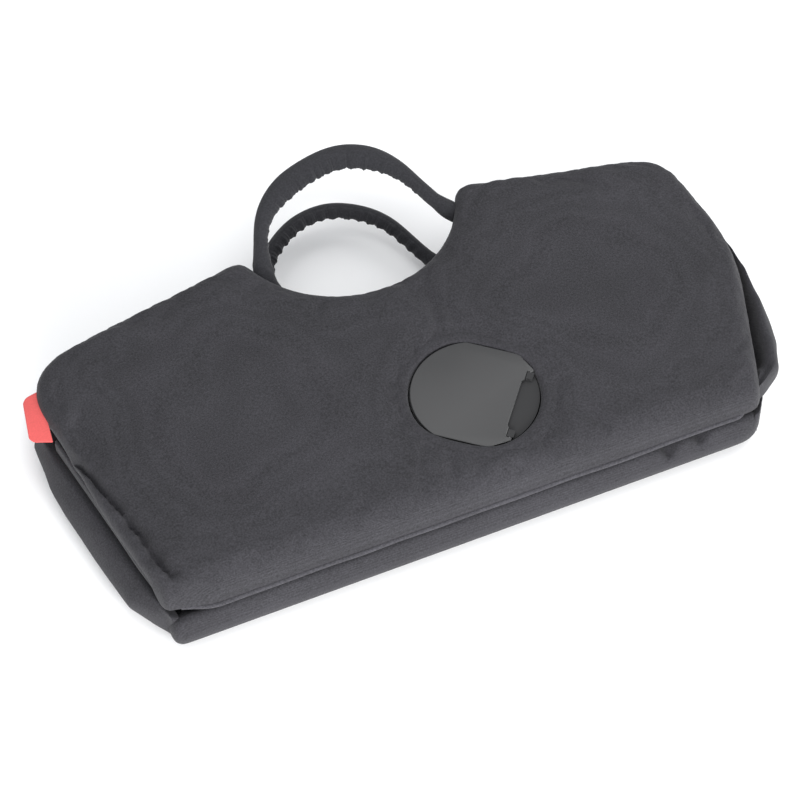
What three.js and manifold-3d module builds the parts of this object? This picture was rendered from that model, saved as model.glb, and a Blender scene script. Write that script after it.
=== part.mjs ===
// A soft carrycot folded flat: two padded side walls, a base that folds up between them,
// folding end gussets, a round plastic hub in each wall, and a carry handle on each wall.
// Millimetres. +X runs along the length, +Y points from the base towards the handles, +Z is up.
import * as THREE from "three";
import { mergeVertices } from "three/addons/utils/BufferGeometryUtils.js";
import Module from "manifold-3d";

const wasm = await Module();
wasm.setup();

// ---- Driving dimensions ----
const gap = 0.3; // play between neighbouring pieces
const beyond = 600; // farther out than any piece reaches
const wallThickness = 34;
const wallPitch = 61; // from the outer face of the back wall to the inner face of the front wall
const foldOffset = 18; // how far the back wall lies below the front wall when folded
const footX = -345; // bottom corner at the foot end
const headX = 336; // bottom corner at the head end
const shoulderFoot = { x: -402, y: 322, setback: 76 };
const shoulderHead = { x: 382, y: 337, setback: 46 };
const hipHead = { x: 401, y: 185, setback: 60 };
const headSeamTop = { x: 388, y: 250 }; // upper end of the head-end gusset's seam
const cornerSetback = 26;
const cutout = { x: 12, y: 421, radius: 134, cornerX: 131, cornerY: 391, setback: 20 };
const skin = 3; // padded cover cloth
const foamDepth = 20; // depth at which the wall's foam ends
const boardThickness = 3;
const hub = { x: 44, y: 108, radius: 70, angle: -39.3 };
const backBase = 149; // hinge to crease, back half of the base
const frontBase = backBase - foldOffset;
const hingeInset = 20; // from a wall's bottom edge to its base hinge
const baseThickness = 9;
const gussetDepth = 140; // from the end seam to the crease between the two halves
const gussetThickness = 3;
const gussetClearance = 16; // from a base hinge to the lowest point of a gusset
const gussetInset = 8; // from the end seam to a gusset half's sewn edge
const gussetTop = 250; // height of the gusset's upper edge on the front wall
const handle = { x: 10.5, y: 372, halfWidth: 108, length: 98, taper: 1.05, radius: 11, bore: 5.5 };
const frontTilt = 20;
const backTilt = 8;

// ---- Values worked out from them ----
const frontFace = wallPitch + wallThickness;
const hingeZ = (wallThickness + wallPitch) / 2; // height of the base's crease
const hingeY = { front: hingeInset, back: hingeInset - foldOffset };
const boardDepth = foamDepth + gap;
const liningDepth = boardDepth + boardThickness + gap;

// ---- Materials ----
const cloth = { color: 0x46454a, roughness: 0.9, metalness: 0 };
const looks = {
  cover: cloth,
  lining: { color: 0x3a393e, roughness: 0.95, metalness: 0 },
  foam: { color: 0xc9c6bd, roughness: 1, metalness: 0 },
  board: { color: 0x8a7a63, roughness: 0.85, metalness: 0 },
  plastic: { color: 0x545456, roughness: 0.42, metalness: 0 },
  darkPlastic: { color: 0x303033, roughness: 0.5, metalness: 0 },
  steel: { color: 0x9a9b9e, roughness: 0.35, metalness: 1 },
  webbing: { color: 0x2c2c30, roughness: 0.9, metalness: 0 },
  sleeve: { color: 0x3b3b40, roughness: 0.92, metalness: 0 },
  tag: { color: 0xe8504f, roughness: 0.8, metalness: 0 },
};

const part = new THREE.Group();

// ---- Helpers ----
function add(group, name, geometry, look) {
  const mesh = new THREE.Mesh(geometry, new THREE.MeshStandardMaterial(looks[look]));
  mesh.name = name;
  group.add(mesh);
  return mesh;
}

function toSolid(geometry) {
  const bare = geometry.clone();
  bare.deleteAttribute("normal");
  bare.deleteAttribute("uv");
  const merged = mergeVertices(bare, 1e-4);
  const vertProperties = new Float32Array(merged.attributes.position.array);
  const triVerts = new Uint32Array(merged.index.array);
  return new wasm.Manifold(new wasm.Mesh({ numProp: 3, vertProperties, triVerts }));
}

function toGeometry(solid) {
  const mesh = solid.getMesh();
  const geometry = new THREE.BufferGeometry();
  geometry.setAttribute("position", new THREE.BufferAttribute(mesh.vertProperties, 3));
  geometry.setIndex(new THREE.BufferAttribute(mesh.triVerts, 1));
  geometry.computeVertexNormals();
  return geometry;
}

function cut(geometry, ...tools) {
  return toGeometry(tools.reduce((left, tool) => left.subtract(toSolid(tool)), toSolid(geometry)));
}

function join(geometry, ...others) {
  return toGeometry(others.reduce((whole, other) => whole.add(toSolid(other)), toSolid(geometry)));
}

function clip(geometry, tool) {
  return toGeometry(toSolid(geometry).intersect(toSolid(tool)));
}

// A flat plate with the given outline, from z = low to z = high.
function plate(points, low, high) {
  const shape = new THREE.Shape(points);
  const geometry = new THREE.ExtrudeGeometry(shape, { depth: high - low, bevelEnabled: false });
  return geometry.translate(0, 0, low);
}

function box(lowX, highX, lowY, highY, lowZ, highZ) {
  const geometry = new THREE.BoxGeometry(highX - lowX, highY - lowY, highZ - lowZ);
  return geometry.translate((lowX + highX) / 2, (lowY + highY) / 2, (lowZ + highZ) / 2);
}

// A round bar or disc standing on z = low.
function disc(radius, low, high, segments = 48) {
  const geometry = new THREE.CylinderGeometry(radius, radius, high - low, segments);
  return geometry.rotateX(Math.PI / 2).translate(0, 0, (low + high) / 2);
}

// A round bar along Y, centred on y = 0.
function barAlongY(radius, length, x, z, segments = 16) {
  return new THREE.CylinderGeometry(radius, radius, length, segments).translate(x, 0, z);
}

// Moves each point of a closed outline inwards by the inset, along the bisector of its sides.
function insetOutline(points, inset) {
  return points.map((point, i) => {
    const before = points[(i + points.length - 1) % points.length];
    const after = points[(i + 1) % points.length];
    const arriving = point.clone().sub(before).normalize();
    const leaving = after.clone().sub(point).normalize();
    const inward = new THREE.Vector2(-arriving.y - leaving.y, arriving.x + leaving.x).normalize();
    const widening = Math.max(0.7, -arriving.y * inward.x + arriving.x * inward.y);
    return point.clone().addScaledVector(inward, inset / widening);
  });
}

// A slab with one outline whose edge is rounded: each ring is [height, inset].
function roundedSlab(points, rings) {
  const positions = [];
  const indices = [];
  const count = points.length;
  for (const [height, inset] of rings) {
    for (const point of insetOutline(points, inset)) positions.push(point.x, point.y, height);
  }
  for (let ring = 0; ring < rings.length - 1; ring++) {
    for (let i = 0; i < count; i++) {
      const low = ring * count + i;
      const next = ring * count + ((i + 1) % count);
      indices.push(low, next, next + count, low, next + count, low + count);
    }
  }
  const top = (rings.length - 1) * count;
  for (const [ring, start, flip] of [[rings[0], 0, true], [rings.at(-1), top, false]]) {
    for (const [a, b, c] of THREE.ShapeUtils.triangulateShape(insetOutline(points, ring[1]), [])) {
      indices.push(start + a, start + (flip ? c : b), start + (flip ? b : c));
    }
  }
  const geometry = new THREE.BufferGeometry();
  geometry.setAttribute("position", new THREE.Float32BufferAttribute(positions, 3));
  geometry.setIndex(indices);
  return geometry;
}

// ---- Wall outline ----
// The wall seen flat, counter-clockwise from the foot-end bottom corner. Each corner is rounded
// by a short curve that starts and ends one setback away from it.
function wallOutline() {
  const footBottom = { x: footX, y: 0, setback: cornerSetback };
  const headBottom = { x: headX, y: 0, setback: cornerSetback };
  const headCut = { x: cutout.x + cutout.cornerX, y: cutout.cornerY };
  const footCut = { x: cutout.x - cutout.cornerX, y: cutout.cornerY };
  const path = new THREE.Path();
  const away = (from, to, distance) =>
    new THREE.Vector2(to.x - from.x, to.y - from.y).setLength(distance).add(from);
  const round = (before, corner, after) => {
    const arrive = away(corner, before, corner.setback);
    const leave = away(corner, after, corner.setback);
    if (path.curves.length) path.lineTo(arrive.x, arrive.y);
    else path.moveTo(arrive.x, arrive.y);
    path.quadraticCurveTo(corner.x, corner.y, leave.x, leave.y);
  };
  round(shoulderFoot, footBottom, headBottom);
  round(footBottom, headBottom, hipHead);
  round(headBottom, hipHead, shoulderHead);
  round(hipHead, shoulderHead, headCut);
  const cornerAngle = Math.atan2(cutout.y - cutout.cornerY, cutout.cornerX);
  const startAngle = -cornerAngle - cutout.setback / cutout.radius;
  const endAngle = -Math.PI - startAngle;
  const dip = { x: cutout.radius * Math.cos(startAngle), y: cutout.radius * Math.sin(startAngle) };
  const headEdge = away(headCut, shoulderHead, cutout.setback);
  const footEdge = away(footCut, shoulderFoot, cutout.setback);
  path.lineTo(headEdge.x, headEdge.y);
  path.quadraticCurveTo(headCut.x, headCut.y, cutout.x + dip.x, cutout.y + dip.y);
  path.absarc(cutout.x, cutout.y, cutout.radius, startAngle, endAngle, true);
  path.quadraticCurveTo(footCut.x, footCut.y, footEdge.x, footEdge.y);
  round(footCut, shoulderFoot, footBottom);
  const points = path.getPoints(5);
  return points.filter((p, i) => p.distanceTo(points[(i + 1) % points.length]) > 0.5);
}

// X of the straight line up a wall's end that its gusset is sewn to, at height y:
// side is -1 at the foot end, 1 at the head end.
function endEdgeX(side, y) {
  const top = side < 0 ? shoulderFoot : headSeamTop;
  const bottom = side < 0 ? footX : headX;
  return bottom + ((top.x - bottom) * y) / top.y;
}

// ---- Walls ----
// A wall is built with depth 0 at its outer face, then stood at its place: the back wall as
// it is, the front wall turned over its length so that its outer face looks up.
const outline = wallOutline();
const hubHoles = { skin: hub.radius + 4.5, foam: hub.radius + 3 };
const hubDepth = { plate: 0.5, plateBack: 4.6, base: 5, baseBack: 14 };
const backing = { radius: hub.radius - 4, bore: 30, thickness: 3 };
const screw = { circle: 56, radius: 2, head: 4, headThickness: 2.2, tip: 8 };
const tab = { width: 20, thickness: 3, depth: 15.5, root: 318, top: handle.y - 1.8 };

// Depth and inset of the cover's outside, from its outer face to its inner face.
const coverRings = [[0, 9], [1.5, 6], [5, 2.5], [10, 0.5], [16, 0], [24, 0.5], [30, 2.5], [wallThickness, 6]];

// Depth and inset of the hollow inside the cover, from the outer face to past the inner face.
const cavityRings = [
  [skin, 10.5], [5.5, 7.5], [10, 4.2], [16, skin + gap], [24, 3.8], [wallThickness + 1, 9.4],
];

// The four places of the hub's screws, as angles round the hub.
const screwAngles = [45, 135, 225, 315].map((degrees) => THREE.MathUtils.degToRad(degrees));

function atScrew(geometry, angle) {
  const x = hub.x + screw.circle * Math.cos(angle);
  return geometry.translate(x, hub.y + screw.circle * Math.sin(angle), 0);
}

function atHub(geometry) {
  return geometry.translate(hub.x, hub.y, 0);
}

function screwHoles(radius, low, high) {
  return screwAngles.map((angle) => atScrew(disc(radius, low, high, 16), angle));
}

function handleSides() {
  return [-1, 1].map((side) => handle.x + side * handle.halfWidth);
}

// The two slots that the handle's webbing tabs pass through.
function tabSlots() {
  const half = tab.width / 2 + gap;
  const low = tab.depth - gap;
  const high = tab.depth + tab.thickness + gap;
  return handleSides().map((x) => box(x - half, x + half, tab.root - gap, handle.y + 20, low, high));
}

function wallCover() {
  const tray = cut(roundedSlab(outline, coverRings), roundedSlab(outline, cavityRings));
  return cut(tray, atHub(disc(hubHoles.skin, -1, skin + 2)), ...tabSlots());
}

// A pad that fills the cover's cavity between two depths.
function cavityPad(low, high) {
  const fill = cavityRings.map(([depth, inset]) => [depth, inset + gap]);
  return clip(roundedSlab(outline, fill), box(-beyond, beyond, -beyond, beyond, low, high));
}

function wallFoam() {
  const hubSpace = atHub(disc(hubHoles.foam, -1, hubDepth.baseBack + gap));
  return cut(cavityPad(skin + gap, foamDepth), hubSpace, ...tabSlots(),
    ...screwHoles(screw.radius + gap, hubDepth.baseBack - 1, foamDepth + 1));
}

function wallBoard() {
  const board = cavityPad(boardDepth, boardDepth + boardThickness);
  return cut(board, ...screwHoles(screw.radius + gap, boardDepth - 1, liningDepth + 1));
}

function wallLining() {
  const pocket = backing.thickness + screw.headThickness + 2 * gap;
  const pad = cavityPad(liningDepth, wallThickness);
  return cut(pad, atHub(disc(hub.radius - 3, liningDepth - 1, liningDepth + pocket)));
}

// ---- Hub ----
// Along u runs the line from the hub's middle to the cover's hinge; v lies across it.
const plateShape = { flatSide: 64.5, cornerU: 38.5, earU: 54, earV: 50, chordU: 47, notchV: 45 };
const hinge = { u: 51, depth: 2.6, pin: 1.2, pinStart: 36, pinEnd: 47.5, trough: 4.6 };
const lug = { inner: 35.3, outer: 44.4, u: 55 };
const socket = { u: -8, lengthU: 30, lengthV: 46, depth: 12.4 };

function hubFrame(geometry) {
  return atHub(geometry.rotateZ(THREE.MathUtils.degToRad(hub.angle)));
}

// The hinge's two sides: the range of v between two distances from the hub's middle.
function bothSides(near, far) {
  return [[-far, -near], [near, far]];
}

function hingeBar(radius, low, high, segments) {
  return barAlongY(radius, high - low, hinge.u, hinge.depth, segments).translate(0, (low + high) / 2, 0);
}

function hubBase() {
  const floor = disc(hub.radius + 0.5, hubDepth.base, hubDepth.baseBack, 72);
  const ears = bothSides(lug.outer + gap, plateShape.earV + 2);
  const troughs = ears.map(([low, high]) => hingeBar(hinge.trough, low, high, 24));
  const pocket = box(
    socket.u - socket.lengthU / 2, socket.u + socket.lengthU / 2,
    -socket.lengthV / 2, socket.lengthV / 2, 0, socket.depth,
  );
  const lugStart = plateShape.chordU + 0.6;
  const lugs = bothSides(lug.inner, lug.outer).map(([low, high]) =>
    box(lugStart, lug.u, low, high, 1, hubDepth.base + 4));
  const pinHole = barAlongY(hinge.pin + gap, 2 * plateShape.earV, hinge.u, hinge.depth);
  const body = cut(join(cut(floor, ...troughs, pocket), ...lugs), pinHole);
  return cut(hubFrame(body), ...screwHoles(screw.radius + gap, screw.tip, hubDepth.baseBack + 1));
}

function hubCover() {
  const { flatSide, cornerU, earU, earV, chordU, notchV } = plateShape;
  const shape = new THREE.Path();
  const sideAngle = Math.PI - Math.asin(flatSide / hub.radius);
  shape.absarc(0, 0, hub.radius, sideAngle, 2 * Math.PI - sideAngle, false);
  shape.lineTo(cornerU, -flatSide + 1);
  shape.lineTo(earU, -earV);
  shape.lineTo(earU, -notchV);
  shape.lineTo(chordU, -notchV);
  shape.lineTo(chordU, notchV);
  shape.lineTo(earU, notchV);
  shape.lineTo(earU, earV);
  shape.lineTo(cornerU, flatSide - 1);
  const points = shape.getPoints(20);
  const rim = disc(hub.radius, 0, hubDepth.base, 72);
  const body = clip(plate(points, hubDepth.plate, hubDepth.plateBack), rim);
  const pinHole = barAlongY(hinge.pin + gap, 3 * earV, hinge.u, hinge.depth);
  return hubFrame(cut(body, pinHole));
}

// Two short pins, one through each ear of the cover and the lug beside it.
function hubPins() {
  return bothSides(hinge.pinStart, hinge.pinEnd).map(([low, high]) =>
    hubFrame(hingeBar(hinge.pin, low, high)));
}

function backingRing() {
  const back = liningDepth + backing.thickness;
  const flat = cut(disc(backing.radius, liningDepth, back), disc(backing.bore, liningDepth - 1, back + 1));
  return cut(atHub(flat), ...screwHoles(screw.radius + gap, liningDepth - 1, back + 1));
}

function hubScrew(angle) {
  const seat = liningDepth + backing.thickness + gap;
  const shank = disc(screw.radius, screw.tip + gap, seat + 1, 16);
  return atScrew(join(shank, disc(screw.head, seat, seat + screw.headThickness, 24)), angle);
}

function handleTab(x) {
  const half = tab.width / 2;
  return box(x - half, x + half, tab.root, tab.top, tab.depth, tab.depth + tab.thickness);
}

function buildWall(side) {
  const wall = new THREE.Group();
  add(wall, `${side}_wall_cover`, wallCover(), "cover");
  add(wall, `${side}_wall_foam`, wallFoam(), "foam");
  add(wall, `${side}_wall_board`, wallBoard(), "board");
  add(wall, `${side}_wall_lining`, wallLining(), "lining");
  add(wall, `${side}_hub_base`, hubBase(), "darkPlastic");
  add(wall, `${side}_hub_cover`, hubCover(), "plastic");
  hubPins().forEach((pin, i) => add(wall, `${side}_hub_hinge_pin_${i + 1}`, pin, "steel"));
  add(wall, `${side}_hub_backing_ring`, backingRing(), "darkPlastic");
  screwAngles.forEach((angle, i) => add(wall, `${side}_hub_screw_${i + 1}`, hubScrew(angle), "steel"));
  const ends = ["foot", "head"];
  handleSides().forEach((x, i) => add(wall, `${side}_handle_tab_${ends[i]}`, handleTab(x), "webbing"));
  return wall;
}

// ---- Base ----
// Each half is a shallow cloth tray that holds a board and a pad; built with z = 0 at its
// outer cloth face, the pad's face at z = baseThickness, y from its hinge to the crease.
function buildBaseHalf(side, length) {
  const half = new THREE.Group();
  const hingeLine = hingeY[side];
  const margin = 6;
  const wall = 1.5;
  const ends = [-1, 1].map((end) => endEdgeX(end, 0) - end * margin);
  const area = (inset) => [ends[0] + inset, ends[1] - inset, 1.5 + inset, length - 1.5 - inset];
  const boardLow = wall + gap;
  const boardHigh = boardLow + boardThickness;
  const tray = cut(box(...area(0), 0, baseThickness - 0.8), box(...area(wall), wall, baseThickness + 1));
  add(half, `base_${side}_cover`, tray, "cover");
  add(half, `base_${side}_board`, box(...area(wall + gap), boardLow, boardHigh), "board");
  add(half, `base_${side}_pad`, box(...area(wall + gap), boardHigh + gap, baseThickness), "lining");
  half.position.y = hingeLine;
  return half;
}

// ---- End gussets ----
// Each end wall is one cloth panel folded inwards along a crease. One half lies on the back
// wall and one on the front wall. Its lower corner is cut on the diagonal, clear of the base.
function gussetHalf(end, side) {
  const start = hingeY[side] + gussetClearance;
  const shift = side === "front" ? 0 : -foldOffset;
  const top = gussetTop + shift;
  const inboard = (distance, y) => new THREE.Vector2(endEdgeX(end, y - shift) - end * distance, y);
  const points = [
    inboard(gussetInset, start),
    inboard(gussetDepth, start + gussetDepth),
    inboard(gussetDepth, top),
    inboard(gussetInset, top),
  ];
  if (end > 0) points.reverse();
  return plate(points, 0, gussetThickness);
}

// ---- Handles ----
// A loop of webbing inside a padded sleeve, built flat about its own hinge line, then tilted.
function loopCurve(startAngle) {
  const points = [];
  const steps = 20;
  for (let i = 0; i <= steps; i++) {
    const angle = startAngle + ((Math.PI - 2 * startAngle) * i) / steps;
    const rise = Math.pow(Math.sin(angle), handle.taper);
    points.push(new THREE.Vector3(handle.halfWidth * Math.cos(angle), handle.length * rise, 0));
  }
  return new THREE.CatmullRomCurve3(points);
}

function handleSleeve() {
  const ring = new THREE.Shape().absarc(0, 0, handle.radius, 0, 2 * Math.PI, false);
  ring.holes.push(new THREE.Path().absarc(0, 0, handle.bore, 0, 2 * Math.PI, true));
  const options = { steps: 22, curveSegments: 5, extrudePath: loopCurve(0.1) };
  return toGeometry(toSolid(new THREE.ExtrudeGeometry(ring, options)));
}

function handleCore() {
  const round = new THREE.Shape().absarc(0, 0, handle.bore - 1, 0, 2 * Math.PI, false);
  const options = { steps: 22, curveSegments: 4, extrudePath: loopCurve(0.025) };
  return toGeometry(toSolid(new THREE.ExtrudeGeometry(round, options)));
}

function buildHandle(side, tilt) {
  const group = new THREE.Group();
  add(group, `${side}_handle_sleeve`, handleSleeve(), "sleeve");
  add(group, `${side}_handle_core`, handleCore(), "webbing");
  group.rotation.x = THREE.MathUtils.degToRad(tilt);
  return group;
}

// ---- Side tag ----
function sideTag() {
  const tag = { low: 236, high: 292, reach: 24, thickness: 1.6, round: 5 };
  const sewn = (y) => endEdgeX(-1, y) - 1;
  const free = (y) => sewn(y) - tag.reach;
  const shape = new THREE.Shape();
  shape.moveTo(sewn(tag.low), tag.low);
  shape.lineTo(sewn(tag.high), tag.high);
  shape.lineTo(free(tag.high) + tag.round, tag.high);
  shape.quadraticCurveTo(free(tag.high), tag.high, free(tag.high), tag.high - tag.round);
  shape.lineTo(free(tag.low), tag.low + tag.round);
  shape.quadraticCurveTo(free(tag.low), tag.low, free(tag.low) + tag.round, tag.low);
  const options = { depth: tag.thickness, bevelEnabled: false, curveSegments: 5 };
  return new THREE.ExtrudeGeometry(shape, options);
}

// ---- Assembly ----
// The back wall lies outer face down; the front wall outer face up.
const backWall = buildWall("back");
backWall.position.y = -foldOffset;
part.add(backWall);

const frontWall = buildWall("front");
frontWall.scale.z = -1;
frontWall.position.z = frontFace;
part.add(frontWall);

// Outer cloth faces of the two base halves meet at the crease's height.
const crease = 0.5;
const baseBack = buildBaseHalf("back", backBase);
baseBack.scale.z = -1;
baseBack.position.z = hingeZ - crease;
part.add(baseBack);
const baseFront = buildBaseHalf("front", frontBase);
baseFront.position.z = hingeZ + crease;
part.add(baseFront);

const gussetLow = { back: wallThickness + 0.5, front: wallPitch - 0.5 - gussetThickness };
for (const [endName, end] of [["foot", -1], ["head", 1]]) {
  for (const side of ["back", "front"]) {
    const half = add(part, `${endName}_end_${side}`, gussetHalf(end, side), "lining");
    half.position.z = gussetLow[side];
  }
}

const handlePlane = tab.depth + tab.thickness / 2;
const frontHandle = buildHandle("front", frontTilt);
frontHandle.position.set(handle.x, handle.y, frontFace - handlePlane);
part.add(frontHandle);
const backHandle = buildHandle("back", backTilt);
backHandle.position.set(handle.x, handle.y - foldOffset, handlePlane);
part.add(backHandle);

const tagMesh = add(part, "side_tag", sideTag(), "tag");
tagMesh.position.z = wallPitch + wallThickness / 2;

// The origin is under the middle of the box round the folded carrycot.
const bounds = new THREE.Box3().setFromObject(part, true);
part.position.set(-(bounds.min.x + bounds.max.x) / 2, -(bounds.min.y + bounds.max.y) / 2, -bounds.min.z);

export default part;
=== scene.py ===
import math

import bmesh
import bpy
import numpy as np
from mathutils import Matrix, Vector, noise


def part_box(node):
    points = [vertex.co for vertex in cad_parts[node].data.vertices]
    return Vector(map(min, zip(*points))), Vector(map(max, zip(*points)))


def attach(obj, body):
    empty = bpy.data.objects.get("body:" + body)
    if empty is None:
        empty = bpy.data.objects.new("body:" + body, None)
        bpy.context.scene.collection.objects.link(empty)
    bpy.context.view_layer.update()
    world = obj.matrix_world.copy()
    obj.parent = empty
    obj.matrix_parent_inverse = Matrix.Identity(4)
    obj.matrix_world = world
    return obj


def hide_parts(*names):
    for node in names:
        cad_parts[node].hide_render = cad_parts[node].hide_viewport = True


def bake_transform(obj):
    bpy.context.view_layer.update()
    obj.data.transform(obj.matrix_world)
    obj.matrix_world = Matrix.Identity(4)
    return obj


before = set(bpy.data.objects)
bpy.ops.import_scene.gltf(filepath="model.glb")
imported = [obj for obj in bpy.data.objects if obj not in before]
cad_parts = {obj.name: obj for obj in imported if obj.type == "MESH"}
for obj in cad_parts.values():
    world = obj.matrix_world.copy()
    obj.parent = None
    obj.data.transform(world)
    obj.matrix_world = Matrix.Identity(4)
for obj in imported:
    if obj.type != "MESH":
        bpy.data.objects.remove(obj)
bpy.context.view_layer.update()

MM = 0.001

# ---- Driving dimensions ----
HUB = (44.0, 108.0)
HUB_RADIUS = 70.0
HUB_ANGLE = math.radians(-39.3)
FOLD_OFFSET = 18.0  # how far the back wall lies below the front one
WALL = 34.0
FRONT_FACE = 95.0
FOOT_X, HEAD_X = -345.0, 336.0
# A wall's corners are (x, y, setback of the round corner).
SHOULDER_FOOT = (-402.0, 333.0, 72.0)
SEAM_TOP_FOOT = (-402.0, 322.0)
SHOULDER_HEAD = (382.0, 337.0, 46.0)
HIP_HEAD = (401.0, 185.0, 60.0)
SEAM_TOP_HEAD = (388.0, 250.0)
CUT_X, CUT_Y, CUT_RADIUS = 12.0, 421.0, 134.0
CUT_CORNER_X, CUT_CORNER_Y, CUT_SETBACK = 131.0, 391.0, 20.0
CUT_FOOT_Y = 385.0
HANDLE_X, HANDLE_Y = 10.5, 372.0
HANDLE_R = 11.0
GUSSET_DEPTH = 140.5
BASE_LENGTH = {"back": 149.0, "front": 131.0}
HINGE_Y = {"back": 2.0, "front": 20.0}
BASE_HEIGHTS = {"back": (38.2, 46.8), "front": (48.2, 56.8)}
STRIP_THICKNESS = 1.2
HANDLE_TILT = {"front": 20.0, "back": 8.0}  # degrees up from the wall
HANDLE_HEIGHT = {"front": 78.0, "back": 17.0}
HANDLE_FATNESS = {"front": 1.32, "back": 0.86}
HANDLE_SCALLOP = {"front": 0.05, "back": 0.11}
# The tag's two edges, each from its low end to its high end.
TAG_SEWN = np.array([(-392.0, 235.0), (-383.0, 306.0)])
TAG_FREE = np.array([(-415.0, 247.0), (-404.0, 305.0)])
TAG_HEIGHT, TAG_HALF = 80.0, 0.75

# The design frame's place in the row frame, from the hub's middle.
hub_low, hub_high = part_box("front_hub_base")
SHIFT = np.array([
    (hub_low.x + hub_high.x) / 2 - HUB[0] * MM,
    (hub_low.y + hub_high.y) / 2 - HUB[1] * MM,
    0.0,
])


def to_row(points):
    """Design millimetres to row-frame metres."""
    return np.asarray(points, float) * MM + SHIFT


# ---- Mesh helpers ----
def new_object(name, verts, faces, materials):
    mesh = bpy.data.meshes.new(name)
    mesh.from_pydata([tuple(v) for v in verts], [], [tuple(f) for f in faces])
    obj = bpy.data.objects.new(name, mesh)
    bpy.context.scene.collection.objects.link(obj)
    for material in materials:
        mesh.materials.append(material)
    face_outwards(mesh)
    smooth(mesh)
    return obj


def face_outwards(mesh):
    bm = bmesh.new()
    bm.from_mesh(mesh)
    bmesh.ops.recalc_face_normals(bm, faces=bm.faces)
    bm.to_mesh(mesh)
    bm.free()


def smooth(mesh):
    mesh.polygons.foreach_set("use_smooth", [True] * len(mesh.polygons))


def apply_modifiers(obj):
    depsgraph = bpy.context.evaluated_depsgraph_get()
    mesh = bpy.data.meshes.new_from_object(obj.evaluated_get(depsgraph))
    old = obj.data
    obj.modifiers.clear()
    obj.data = mesh
    bpy.data.meshes.remove(old)
    smooth(mesh)


def coordinates(mesh):
    co = np.zeros(len(mesh.vertices) * 3)
    mesh.vertices.foreach_get("co", co)
    return co.reshape(-1, 3)


def set_coordinates(mesh, co):
    mesh.vertices.foreach_set("co", np.asarray(co, float).ravel())
    mesh.update()


def design_coordinates(mesh):
    """Vertex places in design millimetres, of a mesh made in the row frame."""
    return (coordinates(mesh) - SHIFT) / MM


def subdivide(obj):
    modifier = obj.modifiers.new("subdivision", "SUBSURF")
    modifier.levels = 1
    modifier.render_levels = 1
    apply_modifiers(obj)


def quads(rings, count, closed=False):
    """Faces between neighbouring rings of count points each; closed joins the last to the first."""
    faces = []
    for k in range(rings if closed else rings - 1):
        a, b = k * count, (k + 1) % rings * count
        for i in range(count):
            j = (i + 1) % count
            faces.append((a + i, a + j, b + j, b + i))
    return faces


def loft(name, sections, materials):
    """Skins a run of equal closed loops of points, and caps its ends."""
    count = len(sections[0])
    last = (len(sections) - 1) * count
    faces = quads(len(sections), count)
    faces.append(tuple(range(count))[::-1])
    faces.append(tuple(range(last, last + count)))
    return new_object(name, to_row(np.vstack(sections)), faces, materials)


def ramp(value, low, high):
    """0 below low, 1 above high, smooth between. low may be above high."""
    t = np.clip((np.asarray(value, float) - low) / (high - low), 0, 1)
    return t * t * (3 - 2 * t)


def spline_point(p0, p1, p2, p3, t):
    """A point of the smooth curve through four points, t of the way from the second to the third."""
    return 0.5 * (2 * p1 + (p2 - p0) * t + (2 * p0 - 5 * p1 + 4 * p2 - p3) * t ** 2
                  + (3 * p1 - p0 - 3 * p2 + p3) * t ** 3)


def noise_at(points, scale, seed=0.0):
    """Perlin noise of design-frame points, one value each, wavelength about scale mm."""
    offset = Vector((seed * 7.3, seed * 3.1, seed * 5.7))
    return np.array([noise.noise(Vector(p) / scale + offset) for p in points])


def line_x(line, y):
    """X at height y of a line given as (height up the wall, x) points."""
    heights, places = zip(*line)
    return np.interp(y, heights, places)


# ---- Outline ----
def away(start, towards, distance):
    """The point at a distance from start, on the line towards another point."""
    start, towards = np.array(start[:2], float), np.array(towards[:2], float)
    direction = towards - start
    return start + direction / np.linalg.norm(direction) * distance


def curve_corner(start, corner, end):
    """A rounded corner from start to end, as a parabola."""
    t = np.linspace(0, 1, 13)[:, None]
    corner = np.array(corner[:2], float)
    return (1 - t) ** 2 * start + 2 * t * (1 - t) * corner + t ** 2 * end


def rounded(before, corner, after):
    setback = corner[2]
    return curve_corner(away(corner, before, setback), corner, away(corner, after, setback))


def resample(points, spacing):
    """Even steps round a closed line."""
    closed = np.vstack([points, points[:1]])
    lengths = np.r_[0, np.cumsum(np.linalg.norm(np.diff(closed, axis=0), axis=1))]
    count = int(lengths[-1] / spacing)
    at = np.linspace(0, lengths[-1], count, endpoint=False)
    return np.stack([np.interp(at, lengths, closed[:, k]) for k in (0, 1)], 1)


def wall_outline(foot_setback, head_setback):
    """A wall seen flat, counter-clockwise from the foot-end bottom corner."""
    foot_bottom = (FOOT_X, 0.0, foot_setback)
    head_bottom = (HEAD_X, 0.0, head_setback)
    head_cut = (CUT_X + CUT_CORNER_X, CUT_CORNER_Y)
    foot_cut = (CUT_X - CUT_CORNER_X, CUT_FOOT_Y)
    corner_angle = math.atan2(CUT_Y - CUT_CORNER_Y, CUT_CORNER_X)
    start = -corner_angle - CUT_SETBACK / CUT_RADIUS
    angles = np.linspace(start, -math.pi - start, 60)
    centre = np.array([CUT_X, CUT_Y])
    arc = centre + CUT_RADIUS * np.stack([np.cos(angles), np.sin(angles)], 1)
    pieces = [
        rounded(SHOULDER_FOOT, foot_bottom, head_bottom),
        rounded(foot_bottom, head_bottom, HIP_HEAD),
        rounded(head_bottom, HIP_HEAD, SHOULDER_HEAD),
        rounded(HIP_HEAD, SHOULDER_HEAD, head_cut),
        curve_corner(away(head_cut, SHOULDER_HEAD, CUT_SETBACK), head_cut, arc[0]),
        arc,
        curve_corner(arc[-1], foot_cut, away(foot_cut, SHOULDER_FOOT, CUT_SETBACK)),
        rounded(foot_cut, SHOULDER_FOOT, foot_bottom),
    ]
    return resample(np.vstack(pieces), 6.0)


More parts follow.
